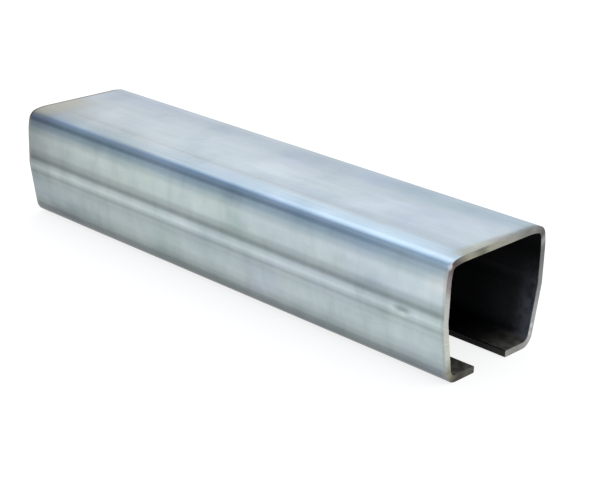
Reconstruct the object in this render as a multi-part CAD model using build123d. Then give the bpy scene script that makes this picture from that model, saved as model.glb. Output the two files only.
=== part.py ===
from build123d import *
import os

# Stainless steel C track, a short length cut from roll-formed stock.
# Millimetres. X runs along the track, Y across it, Z up from the lips' undersides.

# Stock and overall size
length = 173.0
width = 42.2
height = 35.5
sheet = 2.0

# Below the ridge the walls taper in to the base, where two lips leave a slot between them
base_width = 35.9
slot = 13.4

# Inside radii of the four main bends
top_bend = 1.5
base_bend = 2.2

# The sheet eases into each top bend: both sides start to turn short of the square corner that they would
# meet in, and the tight part of the bend is cut back from that corner
top_ease = 5.5
top_cut = 0.9
ease_round = 20.0

# Shallow rolled ridge along each wall, where the taper starts and the track is widest.
# Above it the wall leans in a little on its way up to the top bend.
ridge_height = 17.8
wall_lean = 0.1
ridge_round = 8.0

# Saw-cut ends and slit lip edges, deburred
end_break = 0.15
lip_break = 0.25


def half_outline():
    # Outer face of one half, from the lip's free edge round to the top bend
    wall = width / 2 - wall_lean
    lip_edge = (slot / 2, 0)
    base_corner = (base_width / 2, 0)
    ridge = (width / 2, ridge_height)
    wall_head = (wall, height - top_ease)
    top_corner = (wall - top_cut, height - top_cut)
    web_edge = (wall - top_ease, height)
    return [lip_edge, base_corner, ridge, wall_head, top_corner, web_edge]


def section():
    # The outer line with its bends, thickened inwards by one sheet
    right = half_outline()
    left = [(-y, z) for y, z in reversed(right)]
    bends = [base_bend + sheet, ridge_round, ease_round, top_bend + sheet, ease_round]
    outer = FilletPolyline(*right, *left, radius=bends + bends[::-1])
    strip = offset(outer, amount=sheet, side=Side.LEFT)
    return make_face(strip.edges())


def c_track():
    # The section stands in the YZ plane and runs half the length each way along X
    profile = Plane.YZ * section()
    track = extrude(profile, amount=length / 2, both=True)
    lip_faces = track.faces().filter_by(Axis.Y).sort_by(lambda face: abs(face.center().Y))[:2]
    track = chamfer(lip_faces.edges().filter_by(Axis.X), length=lip_break)
    ends = track.faces().filter_by(Axis.X)
    return chamfer(ends.edges(), length=end_break)


os.makedirs("parts", exist_ok=True)
export_step(c_track(), "parts/c_track.step")
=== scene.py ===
import math

import bpy
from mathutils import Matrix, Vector


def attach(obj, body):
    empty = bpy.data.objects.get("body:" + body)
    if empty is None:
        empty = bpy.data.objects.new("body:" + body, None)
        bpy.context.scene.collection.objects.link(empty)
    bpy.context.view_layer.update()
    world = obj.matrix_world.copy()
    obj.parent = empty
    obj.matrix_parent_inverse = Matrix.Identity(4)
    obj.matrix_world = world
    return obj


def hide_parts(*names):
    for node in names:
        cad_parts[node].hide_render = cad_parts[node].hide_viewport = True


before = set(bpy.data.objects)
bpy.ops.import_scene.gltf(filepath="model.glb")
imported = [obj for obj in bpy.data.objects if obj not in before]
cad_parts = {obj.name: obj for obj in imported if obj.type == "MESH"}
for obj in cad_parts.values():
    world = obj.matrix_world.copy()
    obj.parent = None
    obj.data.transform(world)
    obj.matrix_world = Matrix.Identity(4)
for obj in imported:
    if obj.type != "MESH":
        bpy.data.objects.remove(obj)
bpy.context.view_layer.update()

# C track
# A strip of stainless sheet, cold rolled into a C section and sawn to length. Each wall tapers below a
# shallow rolled ridge, and the two lips turn in to leave a slot. It is one piece, and nothing holds it.
length = 0.173
width = 0.0422
height = 0.0355
sheet = 0.002
base_width = 0.0359
slot_width = 0.0134
top_bend = 0.0015
top_ease = 0.0055
top_cut = 0.0009
ease_round = 0.020
base_bend = 0.0022
ridge_height = 0.0178
wall_lean = 0.0001
ridge_round = 0.008
roll_line_heights = [0.0154, 0.0201]
roll_line_halves = [0.0008, 0.0011]
roll_line_depths = [0.00003, 0.00005]
roll_line_round = 0.0075
lip_break = 0.00025
end_break = 0.00015


def set_in(line, by):
    """Corners of the line that runs inside a line of corners, at a set distance from it."""
    inner = []
    for i, here in enumerate(line):
        ahead = (line[i + 1] - here if i + 1 < len(line) else here - line[i - 1]).normalized()
        behind = (here - line[i - 1] if i else line[1] - here).normalized()
        side = Vector((-ahead.y, ahead.x))
        middle = (side + Vector((-behind.y, behind.x))).normalized()
        inner.append(here + middle * (by / middle.dot(side)))
    return inner


def section_line(name, run_step):
    """Closed line of the cut end. Each point keeps its bend's radius, and flat runs have plain points."""
    wall = width / 2 - wall_lean
    foot = Vector((base_width / 2, 0))
    ridge = Vector((width / 2, ridge_height))
    head = Vector((wall, height - top_ease))
    right = [(Vector((slot_width / 2, 0)), lip_break), (foot, base_bend + sheet)]
    for i, (low, high) in enumerate([(foot, ridge), (ridge, head)]):
        for part in (-1, 0, 1):
            at = roll_line_heights[i] + part * roll_line_halves[i]
            dip = roll_line_depths[i] if part == 0 else 0
            on_wall = low.lerp(high, (at - low.y) / (high.y - low.y))
            right.append((on_wall - Vector((dip, 0)), roll_line_round))
        if i == 0:
            right.append((ridge, ridge_round))
    right.append((head, ease_round))
    right.append((Vector((wall - top_cut, height - top_cut)), top_bend + sheet))
    right.append((Vector((wall - top_ease, height)), ease_round))
    outer = [at for at, _ in right] + [Vector((-at.x, at.y)) for at, _ in reversed(right)]
    outer_bends = [bend for _, bend in right]
    inner = set_in(outer, sheet)
    inner_bends = [bend - sheet if bend > 2 * lip_break else bend for bend in outer_bends]
    corners = list(zip(outer, outer_bends + outer_bends[::-1]))
    corners += list(zip(inner, inner_bends + inner_bends[::-1]))[::-1]
    points = []
    for i, (here, bend) in enumerate(corners):
        before, after = corners[i - 1][0], corners[(i + 1) % len(corners)][0]
        turn = (here - before).angle(after - here)
        points.append((here, bend, bend * math.tan(turn / 2)))
    spaced = []
    for (here, bend, used), (there, _, next_used) in zip(points, points[1:] + points[:1]):
        spaced.append((here, bend))
        run = there - here
        clear = run.length - used - next_used
        steps = int(clear / run_step)
        for step in range(1, steps):
            spaced.append((here + run * ((used + clear * step / steps) / run.length), 0.0))
    curve = bpy.data.curves.new(name, "CURVE")
    spline = curve.splines.new("POLY")
    spline.use_cyclic_u = True
    spline.points.add(len(spaced) - 1)
    for point, (at, bend) in zip(spline.points, spaced):
        point.co = (-at.x, -at.y, 0, 1)
        point.radius = bend
    line = bpy.data.objects.new(name, curve)
    bpy.context.collection.objects.link(line)
    return line


def add_node(tree, kind, values=None, **settings):
    """A node with its settings, and its sockets set to values or linked to other nodes' sockets."""
    node = tree.nodes.new(kind)
    for name, value in settings.items():
        setattr(node, name, value)
    for key, value in (values or {}).items():
        if isinstance(value, bpy.types.NodeSocket):
            tree.links.new(value, node.inputs[key])
        else:
            node.inputs[key].default_value = value
    return node


def rolling_tree():
    """Nodes that run the section along the track, with the slight waves of cold rolling and one knock."""
    tree = bpy.data.node_groups.new("track_rolling", "GeometryNodeTree")
    sizes = {}
    for name, kind in [("Section", "NodeSocketObject"), ("Length", "NodeSocketFloat"),
                       ("Stations", "NodeSocketInt"), ("Bend steps", "NodeSocketInt"),
                       ("Ease steps", "NodeSocketInt"), ("Widest bend", "NodeSocketFloat"),
                       ("Wave", "NodeSocketFloat"), ("Waves per metre", "NodeSocketVector"),
                       ("Wave seed", "NodeSocketFloat"), ("Nick place", "NodeSocketVector"),
                       ("Nick reach", "NodeSocketVector"), ("Nick depth", "NodeSocketFloat"),
                       ("Steel", "NodeSocketMaterial")]:
        sizes[name] = tree.interface.new_socket(name, in_out="INPUT", socket_type=kind).identifier
    tree.interface.new_socket("Track", in_out="OUTPUT", socket_type="NodeSocketGeometry")
    given = tree.nodes.new("NodeGroupInput").outputs

    # The section, with its bends rounded, runs along a straight path from end to end.
    half = add_node(tree, "ShaderNodeMath", {0: given["Length"], 1: 0.5}, operation="MULTIPLY")
    back = add_node(tree, "ShaderNodeMath", {0: given["Length"], 1: -0.5}, operation="MULTIPLY")
    start = add_node(tree, "ShaderNodeCombineXYZ", {"X": back.outputs[0]})
    end = add_node(tree, "ShaderNodeCombineXYZ", {"X": half.outputs[0]})
    path = add_node(tree, "GeometryNodeCurvePrimitiveLine",
                    {"Start": start.outputs[0], "End": end.outputs[0]})
    stations = add_node(tree, "GeometryNodeResampleCurve",
                        {"Curve": path.outputs[0], "Count": given["Stations"]})
    upright = add_node(tree, "GeometryNodeSetCurveNormal", {"Curve": stations.outputs[0]}, mode="Z_UP")
    cut_end = add_node(tree, "GeometryNodeObjectInfo", {"Object": given["Section"]})
    bend = add_node(tree, "GeometryNodeInputRadius")
    is_bend = add_node(tree, "FunctionNodeCompare", {"A": bend.outputs[0], "B": given["Widest bend"]},
                       data_type="FLOAT", operation="LESS_THAN")
    steps = add_node(tree, "GeometryNodeSwitch",
                     {"Switch": is_bend.outputs[0], "False": given["Ease steps"],
                      "True": given["Bend steps"]}, input_type="INT")
    rounded = add_node(tree, "GeometryNodeFilletCurve",
                       {"Curve": cut_end.outputs["Geometry"], "Count": steps.outputs[0],
                        "Radius": bend.outputs[0], "Limit Radius": False}, mode="POLY")
    run = add_node(tree, "GeometryNodeCurveToMesh",
                   {"Curve": upright.outputs[0], "Profile Curve": rounded.outputs[0], "Fill Caps": True})

    # Cold rolling leaves slight waves across and up the track.
    noise_middle = (0.5, 0.5, 0.5)
    place = add_node(tree, "GeometryNodeInputPosition")
    stretched = add_node(tree, "ShaderNodeVectorMath", {0: place.outputs[0], 1: given["Waves per metre"]},
                         operation="MULTIPLY")
    wave = add_node(tree, "ShaderNodeTexNoise",
                    {"Vector": stretched.outputs[0], "W": given["Wave seed"], "Scale": 1.0, "Detail": 1.0},
                    noise_dimensions="4D")
    centred = add_node(tree, "ShaderNodeVectorMath", {0: wave.outputs["Color"], 1: noise_middle},
                       operation="SUBTRACT")
    across = add_node(tree, "ShaderNodeCombineXYZ", {"Y": given["Wave"], "Z": given["Wave"]})
    shift = add_node(tree, "ShaderNodeVectorMath", {0: centred.outputs[0], 1: across.outputs[0]},
                     operation="MULTIPLY")
    waved = add_node(tree, "GeometryNodeSetPosition",
                     {"Geometry": run.outputs[0], "Offset": shift.outputs[0]})

    # The knock pushes the near wall in, most at its middle and not at all past its reach.
    from_nick = add_node(tree, "ShaderNodeVectorMath", {0: place.outputs[0], 1: given["Nick place"]},
                         operation="SUBTRACT")
    nick_share = add_node(tree, "ShaderNodeVectorMath", {0: from_nick.outputs[0], 1: given["Nick reach"]},
                          operation="DIVIDE")
    nick_apart = add_node(tree, "ShaderNodeVectorMath", {0: nick_share.outputs[0]}, operation="LENGTH")
    dent = add_node(tree, "ShaderNodeMapRange",
                    {"Value": nick_apart.outputs["Value"], "From Min": 0.0, "From Max": 1.0,
                     "To Min": given["Nick depth"], "To Max": 0.0}, interpolation_type="SMOOTHSTEP")
    inward = add_node(tree, "ShaderNodeCombineXYZ", {"Y": dent.outputs[0]})
    nicked = add_node(tree, "GeometryNodeSetPosition",
                      {"Geometry": waved.outputs[0], "Offset": inward.outputs[0]})
    smooth = add_node(tree, "GeometryNodeSetShadeSmooth", {"Geometry": nicked.outputs[0]})
    whole = add_node(tree, "GeometryNodeRealizeInstances", {"Geometry": smooth.outputs[0]})
    dressed = add_node(tree, "GeometryNodeSetMaterial",
                       {"Geometry": whole.outputs[0], "Material": given["Steel"]})
    add_node(tree, "NodeGroupOutput", {"Track": dressed.outputs[0]})
    return tree, sizes


def grain(tree, place, waves, seed, detail):
    """Noise with its own number of waves per metre along the track, across it and up it."""
    stretched = add_node(tree, "ShaderNodeVectorMath", {0: place, 1: waves}, operation="MULTIPLY")
    noise = add_node(tree, "ShaderNodeTexNoise",
                     {"Vector": stretched.outputs[0], "W": seed, "Scale": 1.0, "Detail": detail},
                     noise_dimensions="4D")
    return noise.outputs[0]


def graded(tree, value, stops):
    """A colour, or a grey, that changes smoothly with a value between the given stops."""
    ramp = add_node(tree, "ShaderNodeValToRGB", {0: value})
    ramp.color_ramp.interpolation = "EASE"
    marks = ramp.color_ramp.elements
    marks[0].position = stops[0][0]
    marks[1].position = stops[-1][0]
    for at, _ in stops[1:-1]:
        marks.new(at)
    for mark, (_, tone) in zip(marks, stops):
        mark.color = (*tone, 1) if isinstance(tone, tuple) else (tone, tone, tone, 1)
    return ramp.outputs[0]


def between(tree, value, low, high, to=(0.0, 1.0)):
    """A value taken from one range to another, smoothly, and held at both ends."""
    ranged = add_node(tree, "ShaderNodeMapRange",
                      {"Value": value, "From Min": low, "From Max": high, "To Min": to[0], "To Max": to[1]},
                      interpolation_type="SMOOTHSTEP")
    return ranged.outputs[0]


def sum_of(tree, operation, first, second=0.0, third=0.0):
    """One sum on up to three values."""
    return add_node(tree, "ShaderNodeMath", {0: first, 1: second, 2: third}, operation=operation).outputs[0]


def all_of(tree, share, *others):
    """A share that holds where every one of the given shares does."""
    for other in others:
        share = sum_of(tree, "MULTIPLY", share, other)
    return share


def rest_of(tree, share):
    """What a share leaves over."""
    return sum_of(tree, "SUBTRACT", 1.0, share)


def coat(tree, under, over, amount, kind="MIX"):
    """A colour laid over another by an amount."""
    mixed = add_node(tree, "ShaderNodeMix", {"Factor": amount, "A": under, "B": over}, data_type="RGBA",
                     blend_type=kind)
    return mixed.outputs["Result"]


def tinted(tree, under, tint, amount=1.0):
    """A colour multiplied by a tint, by an amount."""
    return coat(tree, under, tint, amount, "MULTIPLY")


def stainless_steel():
    """Cold-rolled stainless steel: rolling streaks, ground strips and sawn ends, with painted shade,
    highlights and glints, also by the roll lines on the walls.
    """
    material = bpy.data.materials.new("stainless_steel")
    material.use_nodes = True
    tree = material.node_tree
    steel = tree.nodes["Principled BSDF"]

    # Places on the track: its flat and upright faces, its sawn ends and its inside.
    where = add_node(tree, "ShaderNodeTexCoord")
    place = where.outputs["Object"]
    x, y, z = add_node(tree, "ShaderNodeSeparateXYZ", {0: place}).outputs
    along, across, up = add_node(tree, "ShaderNodeSeparateXYZ", {0: where.outputs["Normal"]}).outputs
    flat = sum_of(tree, "ABSOLUTE", up)
    upright = between(tree, sum_of(tree, "ABSOLUTE", across), 0.75, 0.95)
    on_web = between(tree, up, 0.8, 0.97)
    sawn = between(tree, sum_of(tree, "ABSOLUTE", along), 0.5, 0.8)
    from_middle = sum_of(tree, "MULTIPLY", sum_of(tree, "SUBTRACT", z, height / 2), up)
    outwards = sum_of(tree, "MULTIPLY_ADD", y, across, from_middle)
    inside = between(tree, outwards, 0.0, -0.001)
    across_web = sum_of(tree, "MULTIPLY_ADD", y, 1.0 / width, 0.45)
    lengthwise = sum_of(tree, "MULTIPLY_ADD", x, 1.0 / length, 0.5)
    from_end = sum_of(tree, "SUBTRACT", length / 2, sum_of(tree, "ABSOLUTE", x))
    front_half = between(tree, x, 0.0, 0.01)

    # Rolled sheet, clouded and streaked along the track. Web bluer, walls greener: painted tints for the
    # light each mirrors.
    wall_steel_as_lit = (0.483, 0.555, 0.570, 1)
    web_steel_as_lit = (0.463, 0.541, 0.604, 1)
    tone = coat(tree, wall_steel_as_lit, web_steel_as_lit, between(tree, flat, 0.2, 0.9))
    clouds = grain(tree, place, waves=(54.0, 62.0, 85.0), seed=1.0, detail=4.0)
    cloudy = graded(tree, clouds, [(0.30, (0.83, 0.87, 0.88)), (0.5, 1.0), (0.70, (1.14, 1.11, 1.10))])
    tone = tinted(tree, tone, cloudy)
    stains = grain(tree, place, waves=(40.0, 85.0, 95.0), seed=10.0, detail=4.0)
    stained = graded(tree, stains, [(0.32, (0.99, 1.0, 0.955)), (0.5, 1.0), (0.68, (1.005, 0.985, 1.05))])
    tone = tinted(tree, tone, stained)
    wide = grain(tree, place, waves=(22.0, 210.0, 160.0), seed=2.0, detail=3.0)
    wide_streaks = graded(tree, wide, [(0.33, (0.92, 0.94, 0.96)), (0.5, 1.0), (0.67, (1.05, 1.04, 1.03))])
    tone = tinted(tree, tone, wide_streaks, between(tree, flat, 0.0, 1.0, to=(0.2, 1.0)))
    # Painted shade and light across the web: darker towards its far edge and in a line just in from the near
    # bend.
    drifting = grain(tree, place, waves=(14.0, 60.0, 0.0), seed=8.0, detail=2.0)
    web_shade_drift = sum_of(tree, "MULTIPLY_ADD", drifting, 0.10, across_web)
    web_painted_shade = graded(tree, web_shade_drift, [
        (0.10, 1.0), (0.17, 0.98), (0.21, 0.87), (0.26, 0.97), (0.34, 1.05), (0.5, 0.98), (0.64, 0.91),
        (0.77, (0.77, 0.80, 0.83)), (0.86, (0.70, 0.74, 0.79)), (0.93, (0.60, 0.65, 0.70))])
    tone = tinted(tree, tone, web_painted_shade, on_web)

    # Broad patches of the web and of its bends: painted shade, painted highlights and a painted blue
    # reflection.
    painted_shade_far_front = all_of(tree, between(tree, y, 0.003, 0.013), between(tree, x, -0.005, 0.045))
    tone = tinted(tree, tone, (0.885, 0.95, 0.985, 1), painted_shade_far_front)
    painted_shade_near_front = all_of(tree, between(tree, y, -0.0128, -0.0105), between(tree, y, -0.0015, -0.0060),
                        between(tree, x, 0.042, 0.062), on_web)
    tone = tinted(tree, tone, (0.865, 0.88, 0.89, 1), painted_shade_near_front)
    # Painted blue reflection on the bends, where they mirror the dim bluish side of the room.
    painted_blue_on_bends = all_of(tree, between(tree, up, 0.0, 0.25), between(tree, up, 0.90, 0.72))
    tone = tinted(tree, tone, (0.77, 0.87, 1.01, 1), painted_blue_on_bends)
    painted_shade_midway = all_of(tree, between(tree, x, -0.050, -0.025), between(tree, x, 0.036, 0.010),
                    between(tree, up, 0.50, 0.66), between(tree, up, 0.95, 0.84))
    tone = tinted(tree, tone, (0.87, 0.92, 0.97, 1), painted_shade_midway)
    painted_sheen_back_bend = all_of(tree, between(tree, y, -0.0170, -0.0188), between(tree, x, -0.038, -0.060),
                       between(tree, up, 0.55, 0.72))
    tone = tinted(tree, tone, (1.11, 1.15, 1.22, 1), painted_sheen_back_bend)
    # Painted highlight along the web by the near bend, strongest towards the front.
    highlight_to_front = all_of(tree, between(tree, x, -0.040, 0.040), between(tree, x, 0.086, 0.066, to=(0.3, 1.0)))
    painted_highlight_by_bend = all_of(tree, between(tree, y, -0.0128, -0.0150), between(tree, up, 0.65, 0.92))
    tone = tinted(tree, tone, (1.05, 1.12, 1.17, 1), all_of(tree, painted_highlight_by_bend, highlight_to_front))
    # Painted highlight down the near bend, growing towards the front end.
    painted_highlight_on_bend = all_of(tree, between(tree, up, 0.05, 0.40), between(tree, up, 0.74, 0.56),
                     between(tree, x, 0.020, 0.086, to=(0.25, 1.0)))
    tone = tinted(tree, tone, (1.85, 1.75, 1.63, 1), painted_highlight_on_bend)

    # Fine rolling streaks all over, and upright rub marks on the walls.
    fine = grain(tree, place, waves=(25.0, 1300.0, 1100.0), seed=3.0, detail=1.0)
    fine_streaks = graded(tree, fine, [(0.3, 0.96), (0.7, 1.03)])
    tone = tinted(tree, tone, fine_streaks, between(tree, flat, 0.0, 1.0, to=(0.3, 1.0)))
    rubs = grain(tree, place, waves=(190.0, 28.0, 70.0), seed=4.0, detail=4.0)
    rub_marks = graded(tree, rubs, [(0.30, 0.92), (0.5, 1.0), (0.70, 1.06)])
    tone = tinted(tree, tone, rub_marks, upright)

    # Bands along each wall: painted shade and highlights for how the rolled ridge and roll lines reflect, and
    # painted shade under the top bend. The heights of the stops are in millimetres above the floor.
    mm = 0.001
    wandering = grain(tree, place, waves=(30.0, 0.0, 0.0), seed=5.0, detail=2.0)
    wander = sum_of(tree, "MULTIPLY_ADD", wandering, 0.6 * mm, z)
    level = sum_of(tree, "DIVIDE", sum_of(tree, "SUBTRACT", wander, 0.3 * mm), height)
    painted_wall_bands = graded(tree, level, [(at * mm / height, share) for at, share in (
        (6.0, 1.0), (10.5, 0.98), (12.2, 0.95), (13.2, 0.87), (14.1, 0.89), (15.35, 0.72), (16.3, 0.91),
        (17.4, 1.10), (18.5, 0.93), (20.1, 0.50), (21.8, 0.74), (23.8, 1.0), (27.5, 1.04),
        (29.5, (0.845, 0.86, 0.865)), (31.5, (0.60, 0.64, 0.675)))])
    tone = tinted(tree, tone, painted_wall_bands, upright)
    # Painted shade low down, darkest at the foot, where the steel mirrors the shadowed floor beside it.
    foot = graded(tree, level, [(at * mm / height, share) for at, share in (
        (0.0, 0.22), (1.5, 0.28), (3.5, 0.46), (5.0, 0.70), (7.0, 0.87), (9.5, 1.0))])
    tone = tinted(tree, tone, foot)

    # Ends: painted shade over the near side, deeper towards the back and lifting to painted light at the
    # front.
    painted_shade_to_back = graded(tree, lengthwise, [
        (0.0, (0.50, 0.50, 0.49)), (0.04, (0.58, 0.58, 0.565)), (0.09, (0.73, 0.73, 0.71)),
        (0.15, (0.82, 0.82, 0.795)), (0.27, (0.93, 0.93, 0.90)), (0.38, (0.985, 0.995, 0.98)),
        (0.55, (0.975, 0.985, 0.985)), (0.66, (0.975, 0.99, 1.005)), (0.8, (0.995, 1.01, 1.025)),
        (0.97, (1.05, 1.07, 1.08))])
    shaded_near_side = all_of(tree, between(tree, y, 0.010, -0.012, to=(0.2, 1.0)),
                       between(tree, z, 0.009, 0.024, to=(0.46, 1.0)))
    tone = tinted(tree, tone, painted_shade_to_back, shaded_near_side)
    # Darker low down, from the back end to a little past the middle.
    low_back = all_of(tree, between(tree, z, 0.017, 0.014), between(tree, x, 0.050, 0.020))
    tone = tinted(tree, tone, (0.905, 0.91, 0.915, 1), low_back)
    # Ground just short of both saw cuts.
    off_bend = between(tree, y, -0.0170, -0.0135)
    to_strip = sum_of(tree, "ADD", from_end, between(tree, y, -0.012, 0.010, to=(0.0, 0.0016)))
    dull_strip = all_of(tree, between(tree, to_strip, 0.0045, 0.0020), front_half, off_bend, on_web)
    strip_tone = graded(tree, across_web, [
        (0.12, (0.95, 0.84, 0.67)), (0.31, (0.87, 0.81, 0.63)), (0.45, (0.67, 0.58, 0.53)),
        (0.60, (0.66, 0.62, 0.55)), (0.75, (0.62, 0.61, 0.58))])
    tone = tinted(tree, tone, strip_tone, dull_strip)
    ragged_edge = grain(tree, place, waves=(60.0, 350.0, 350.0), seed=6.0, detail=2.0)
    ground = between(tree, sum_of(tree, "MULTIPLY_ADD", ragged_edge, 0.0012, from_end), 0.0021, 0.0013)
    on_top = all_of(tree, between(tree, up, 0.2, 0.8), off_bend)
    lit_corner = all_of(tree, between(tree, up, 0.4, 0.6), rest_of(tree, off_bend))
    ground_part = all_of(tree, ground, between(tree, on_top, 0.0, 1.0, to=(0.35, 0.7)),
                         between(tree, lit_corner, 0.0, 1.0, to=(1.0, 0.2)))
    back_ground = (0.37, 0.37, 0.33, 1)
    front_ground = graded(tree, across_web, [
        (0.38, (0.37, 0.37, 0.33)), (0.46, (0.29, 0.285, 0.265)), (0.62, (0.215, 0.23, 0.22)),
        (0.76, (0.16, 0.17, 0.17))])
    tone = coat(tree, tone, coat(tree, back_ground, front_ground, front_half), ground_part)

    # Painted light under the near bend by the front end; straw-coloured and then dark at the back's top edge.
    painted_light_reach = sum_of(tree, "MAXIMUM", between(tree, x, 0.077, 0.086), between(tree, up, 0.06, 0.26))
    painted_light_under_bend = all_of(tree, between(tree, up, 0.60, 0.42), between(tree, z, 0.0240, 0.0300),
                        between(tree, x, 0.056, 0.083), painted_light_reach)
    tone = tinted(tree, tone, (1.32, 1.18, 1.10, 1), painted_light_under_bend)
    straw = (0.33, 0.325, 0.25, 1)
    straw_strength = 0.7
    heated = all_of(tree, between(tree, x, -0.072, -0.084), between(tree, up, 0.5, 0.9),
                    between(tree, y, 0.004, -0.006), straw_strength)
    tone = coat(tree, tone, straw, heated)
    dark_edge = (0.12, 0.11, 0.085, 1)
    back = -length / 2
    back_edge = all_of(tree, between(tree, x, back + 0.0011, back + 0.0005), between(tree, up, 0.3, 0.6))
    tone = coat(tree, tone, dark_edge, back_edge)

    # Knock on the near wall's ridge: painted shade in its dent with a painted highlight below it.
    knock_shade = ((0.0727, 0.0181), (0.0032, 0.0013), (0.285, 0.345, 0.360, 1))
    knock_highlight = ((0.0727, 0.0166), (0.0016, 0.0007), (0.52, 0.60, 0.615, 1))
    for middle, reach, mark_tone in (knock_shade, knock_highlight):
        aside = sum_of(tree, "DIVIDE", sum_of(tree, "SUBTRACT", x, middle[0]), reach[0])
        above = sum_of(tree, "DIVIDE", sum_of(tree, "SUBTRACT", z, middle[1]), reach[1])
        offset = add_node(tree, "ShaderNodeCombineXYZ", {"X": aside, "Y": above})
        apart = add_node(tree, "ShaderNodeVectorMath", {0: offset.outputs[0]}, operation="LENGTH")
        knock = all_of(tree, between(tree, apart.outputs["Value"], 1.3, 0.2),
                       between(tree, across, -0.8, -0.9))
        tone = coat(tree, tone, mark_tone, knock)

    # Inside: dull, and painted near black as shade; dusty low down near the ends. The slit edges are painted
    # dark as shade too.
    inside_shade_steel = (0.012, 0.0125, 0.014, 1)
    slit_edge = slot_width / 2
    slit = all_of(tree, between(tree, sum_of(tree, "ABSOLUTE", y), slit_edge + 0.0004, slit_edge + 0.0002),
                  between(tree, z, 0.004, 0.003))
    dust_and_sheen_place = all_of(tree, between(tree, from_end, 0.022, 0.001), inside, rest_of(tree, slit),
                   between(tree, z, 0.028, 0.010))
    specks = grain(tree, place, waves=(420.0, 420.0, 420.0), seed=9.0, detail=4.0)
    speckled = graded(tree, specks, [(0.35, 0.45), (0.6, 1.15)])
    lip_dust = coat(tree, (0.022, 0.021, 0.017, 1), (0.095, 0.091, 0.078, 1),
                    between(tree, from_end, 0.012, 0.0005))
    # The walls' dust carries a painted blue sheen, brighter towards the ends, for light from the open ends.
    wall_dust_and_sheen = coat(tree, (0.012, 0.0135, 0.018, 1), (0.130, 0.140, 0.165, 1),
                     between(tree, from_end, 0.0075, 0.0))
    dust_and_sheen = tinted(tree, coat(tree, wall_dust_and_sheen, lip_dust, between(tree, up, 0.5, 0.9)), speckled)
    tone = coat(tree, tone, coat(tree, inside_shade_steel, dust_and_sheen, dust_and_sheen_place), inside)
    # Painted shade on the slit edges, lifting a little near the ends.
    slit_shade_tone = coat(tree, (0.010, 0.010, 0.011, 1), (0.032, 0.032, 0.031, 1),
                     between(tree, from_end, 0.010, 0.002))
    tone = coat(tree, tone, slit_shade_tone, slit)

    # Saw cuts: fine saw lines on olive steel, with painted glints and shade. The stops go once round the end
    # from the middle of the web.
    saw = grain(tree, place, waves=(0.0, 300.0, 3200.0), seed=7.0, detail=2.0)
    saw_lines = graded(tree, saw, [(0.3, 0.80), (0.5, 0.97), (0.7, 1.12)])
    turn = sum_of(tree, "ARCTAN2", y, sum_of(tree, "SUBTRACT", height / 2, z))
    round_end = sum_of(tree, "MULTIPLY_ADD", turn, 1 / math.tau, 0.5)
    saw_tone_and_light = graded(tree, round_end, [
        (0.0, (0.34, 0.335, 0.275)), (0.035, (0.34, 0.335, 0.27)), (0.063, (0.185, 0.185, 0.145)),
        (0.098, (0.32, 0.315, 0.25)), (0.135, (0.11, 0.085, 0.08)), (0.17, (0.28, 0.245, 0.245)),
        (0.205, (0.50, 0.515, 0.48)), (0.32, (0.60, 0.615, 0.54)), (0.365, (0.27, 0.265, 0.21)),
        (0.381, (0.115, 0.11, 0.09)), (0.390, (0.070, 0.061, 0.055)), (0.400, (0.066, 0.056, 0.051)),
        (0.414, (0.10, 0.10, 0.085)), (0.430, (0.09, 0.09, 0.076)), (0.55, (0.34, 0.34, 0.31)),
        (0.585, (0.29, 0.29, 0.27)), (0.612, (0.30, 0.30, 0.285)), (0.635, (0.42, 0.42, 0.40)),
        (0.66, (0.38, 0.38, 0.375)), (0.77, (0.24, 0.24, 0.235)), (0.81, (0.18, 0.18, 0.175)),
        (0.828, (0.17, 0.17, 0.165)), (0.841, (0.34, 0.34, 0.335)), (0.854, (0.12, 0.115, 0.11)),
        (0.872, (0.20, 0.195, 0.185)), (0.883, (0.25, 0.25, 0.24)), (0.895, (0.21, 0.215, 0.20)),
        (0.94, (0.32, 0.32, 0.285)), (1.0, (0.34, 0.335, 0.275))])
    tone = coat(tree, tone, tinted(tree, saw_tone_and_light, saw_lines), sawn)

    # Painted glints: three small bright spots on the front end's edges, where they catch the light.
    glint_tone = (0.95, 0.95, 0.96, 1)
    glint_core = 0.0002
    painted_glint = 0.0
    for middle, reach, share in [((-0.0200, 0.0337), 0.0013, 0.85), ((0.0176, 0.0062), 0.0010, 0.55),
                                 ((0.0169, 0.0041), 0.0010, 0.55)]:
        from_glint = add_node(tree, "ShaderNodeVectorMath", {0: place, 1: (length / 2, *middle)},
                             operation="DISTANCE")
        spot = between(tree, from_glint.outputs["Value"], reach, glint_core, to=(0.0, share))
        painted_glint = sum_of(tree, "MAXIMUM", spot, painted_glint)
    painted_glint = all_of(tree, painted_glint, rest_of(tree, inside))
    tone = coat(tree, tone, glint_tone, painted_glint)

    # Gloss: streaked on the rolled sheet, duller inside, on the ground strips and on the saw cuts.
    rough = sum_of(tree, "MULTIPLY_ADD", fine, 0.10, 0.24)
    for part, dullness in [(inside, 0.55), (ground, 0.42), (sawn, 0.5)]:
        rough = sum_of(tree, "MAXIMUM", rough, sum_of(tree, "MULTIPLY", part, dullness))
    relief_depth = 0.000006
    relief = sum_of(tree, "ADD", fine, sum_of(tree, "MULTIPLY", rubs, upright))
    relief = sum_of(tree, "ADD", relief, sum_of(tree, "MULTIPLY", saw, sawn))
    bump = add_node(tree, "ShaderNodeBump", {"Height": relief, "Strength": 1.0, "Distance": relief_depth})
    bare = rest_of(tree, sum_of(tree, "MAXIMUM", dust_and_sheen_place, painted_glint))
    tree.links.new(tone, steel.inputs["Base Color"])
    tree.links.new(rough, steel.inputs["Roughness"])
    tree.links.new(bump.outputs[0], steel.inputs["Normal"])
    tree.links.new(bare, steel.inputs["Metallic"])
    return material


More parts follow.
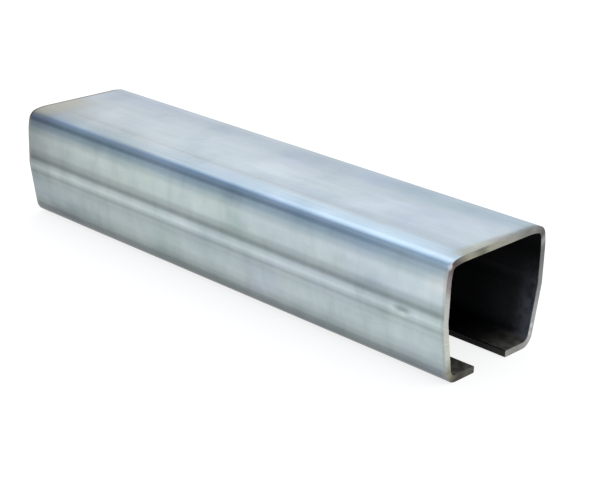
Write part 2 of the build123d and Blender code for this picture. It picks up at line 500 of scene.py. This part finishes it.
tree, sizes = rolling_tree()
track = bpy.data.objects.new("track", bpy.data.meshes.new("track"))
bpy.context.collection.objects.link(track)
section = section_line("track_section", run_step=0.0028)
rolling = track.modifiers.new("rolling", "NODES")
rolling.node_group = tree
rolled_to = {
    "Section": section,
    "Length": length,
    "Stations": 301,
    "Bend steps": 8,
    "Ease steps": 3,
    "Widest bend": 0.005,
    "Wave": 0.00012,
    "Waves per metre": (22.0, 70.0, 70.0),
    "Wave seed": 3.0,
    "Nick place": (0.073, -0.0211, 0.0172),
    "Nick reach": (0.0020, 0.0014, 0.0013),
    "Nick depth": 0.00028,
    "Steel": stainless_steel(),
}
for name, value in rolled_to.items():
    rolling[sizes[name]] = value
deburr = track.modifiers.new("deburr", "BEVEL")
deburr.width = end_break
deburr.segments = 3
deburr.limit_method = "ANGLE"
deburr.angle_limit = math.radians(60)
deburr.use_clamp_overlap = False
even = track.modifiers.new("even", "WEIGHTED_NORMAL")
even.keep_sharp = True
made = bpy.data.meshes.new_from_object(track.evaluated_get(bpy.context.evaluated_depsgraph_get()))
track.modifiers.clear()
track.data = made
bpy.data.objects.remove(section)
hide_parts("c_track")
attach(track, "root")

# Floor
# A plain white table that the track stands on, unfixed, wide enough to fill the picture from every side. Its
# matt paint takes the track's shadow, and a glow that lights nothing keeps it white, in the steel too.
floor_half = 30.0
floor_paint = (0.29, 0.29, 0.285, 1)
floor_glow = 0.81
floor = bpy.data.objects.new("floor", bpy.data.meshes.new("floor"))
floor_corners = [(x * floor_half, y * floor_half, 0) for x, y in ((-1, -1), (1, -1), (1, 1), (-1, 1))]
floor.data.from_pydata(floor_corners, [], [(0, 1, 2, 3)])
bpy.context.collection.objects.link(floor)
white = bpy.data.materials.new("white_table")
white.use_nodes = True
table = white.node_tree
table.nodes.clear()
seen = add_node(table, "ShaderNodeLightPath").outputs
by_eye = sum_of(table, "MAXIMUM", seen["Is Camera Ray"], seen["Is Glossy Ray"])
by_any = sum_of(table, "MAXIMUM", by_eye, seen["Is Transmission Ray"])
paint = add_node(table, "ShaderNodeBsdfDiffuse", {"Color": floor_paint})
glow = add_node(table, "ShaderNodeEmission",
                {"Color": (1, 1, 1, 1), "Strength": sum_of(table, "MULTIPLY", by_any, floor_glow)})
both = add_node(table, "ShaderNodeAddShader", {0: paint.outputs[0], 1: glow.outputs[0]})
add_node(table, "ShaderNodeOutputMaterial", {"Surface": both.outputs[0]})
floor.data.materials.append(white)

# Light
# A soft room that is bright beyond the track, and dim and bluish on the near side, so that the web shines
# and the near wall is darker. A wide softbox hangs level over the track and gives the soft shadow by it.
near_room = (0.43, 0.47, 0.525, 1)
low_beyond = (1.18, 1.17, 1.17, 1)
high_beyond = (0.93, 0.95, 0.99, 1)
world = bpy.data.worlds.new("studio")
bpy.context.scene.world = world
world.use_nodes = True
room = world.node_tree
room.nodes.clear()
ray = add_node(room, "ShaderNodeTexCoord")
heading = add_node(room, "ShaderNodeSeparateXYZ", {0: ray.outputs["Generated"]}).outputs
beyond = coat(room, low_beyond, high_beyond, between(room, heading["Z"], 0.34, 0.60))
around = coat(room, near_room, beyond, between(room, heading["Y"], -0.36, 0.36))
sky = add_node(room, "ShaderNodeBackground", {"Color": around, "Strength": 1.0})
add_node(room, "ShaderNodeOutputWorld", {"Surface": sky.outputs[0]})
softbox_radiance = 0.65
softbox = bpy.data.objects.new("softbox", bpy.data.lights.new("softbox", "AREA"))
bpy.context.collection.objects.link(softbox)
softbox.location = (0.0, 0.12, 0.9)
softbox.data.shape = "RECTANGLE"
softbox.data.size = 1.6
softbox.data.size_y = 1.1
softbox.data.color = (0.985, 1.0, 1.01)
softbox.data.energy = softbox_radiance * math.pi * softbox.data.size * softbox.data.size_y

# Camera
# A long lens off the track's near front corner and a little above it, turned as in the photograph, so that
# the web, the near wall and the open front end all show.
camera = bpy.data.objects.new("camera", bpy.data.cameras.new("camera"))
bpy.context.collection.objects.link(camera)
camera.data.sensor_fit = "HORIZONTAL"
camera.data.sensor_width = 36
camera.data.lens = 91.04
camera.location = (0.299625, -0.298821, 0.176288)
camera.rotation_euler = [math.radians(turn) for turn in (68.3156, -1.6152, 44.1656)]
bpy.context.scene.camera = camera
bpy.context.scene.view_settings.view_transform = "Standard"
